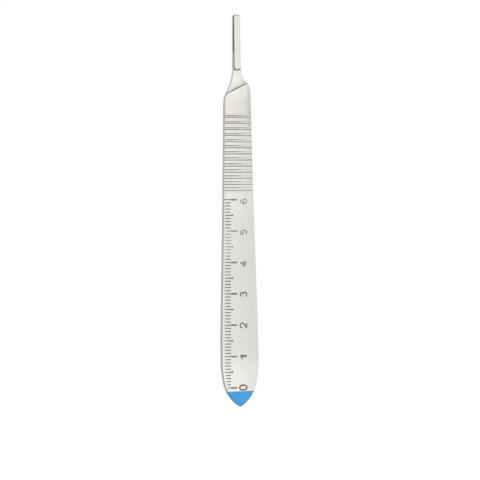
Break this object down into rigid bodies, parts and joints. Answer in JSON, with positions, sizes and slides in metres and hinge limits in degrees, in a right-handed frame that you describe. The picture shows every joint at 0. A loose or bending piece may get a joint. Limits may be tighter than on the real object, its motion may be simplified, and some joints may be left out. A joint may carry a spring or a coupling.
{
  "type": "scalpel handle",
  "caption": "Flat steel scalpel handle with cross-grooved grip, engraved centimetre scale, narrow side-grooved nose for small detachable blades and a blue coated butt end.",
  "frame": {"origin": "centre of the bounding box, in the plane of the flat back face that the handle lies on", "axes": "+Y along the handle towards the blade nose, +Z out of the face with the scale, +X to the right of that face with the nose up"},
  "size_m": [0.012, 0.125, 0.0027],
  "materials": {
    "steel": "satin, dulled stainless steel with a fine lengthwise grain",
    "blue_coat": "smooth semi-gloss identification coat"
  },
  "bodies": {
    "root": {"handle": "steel", "blue_end_coat": "blue_coat"}
  },
  "joints": []
}
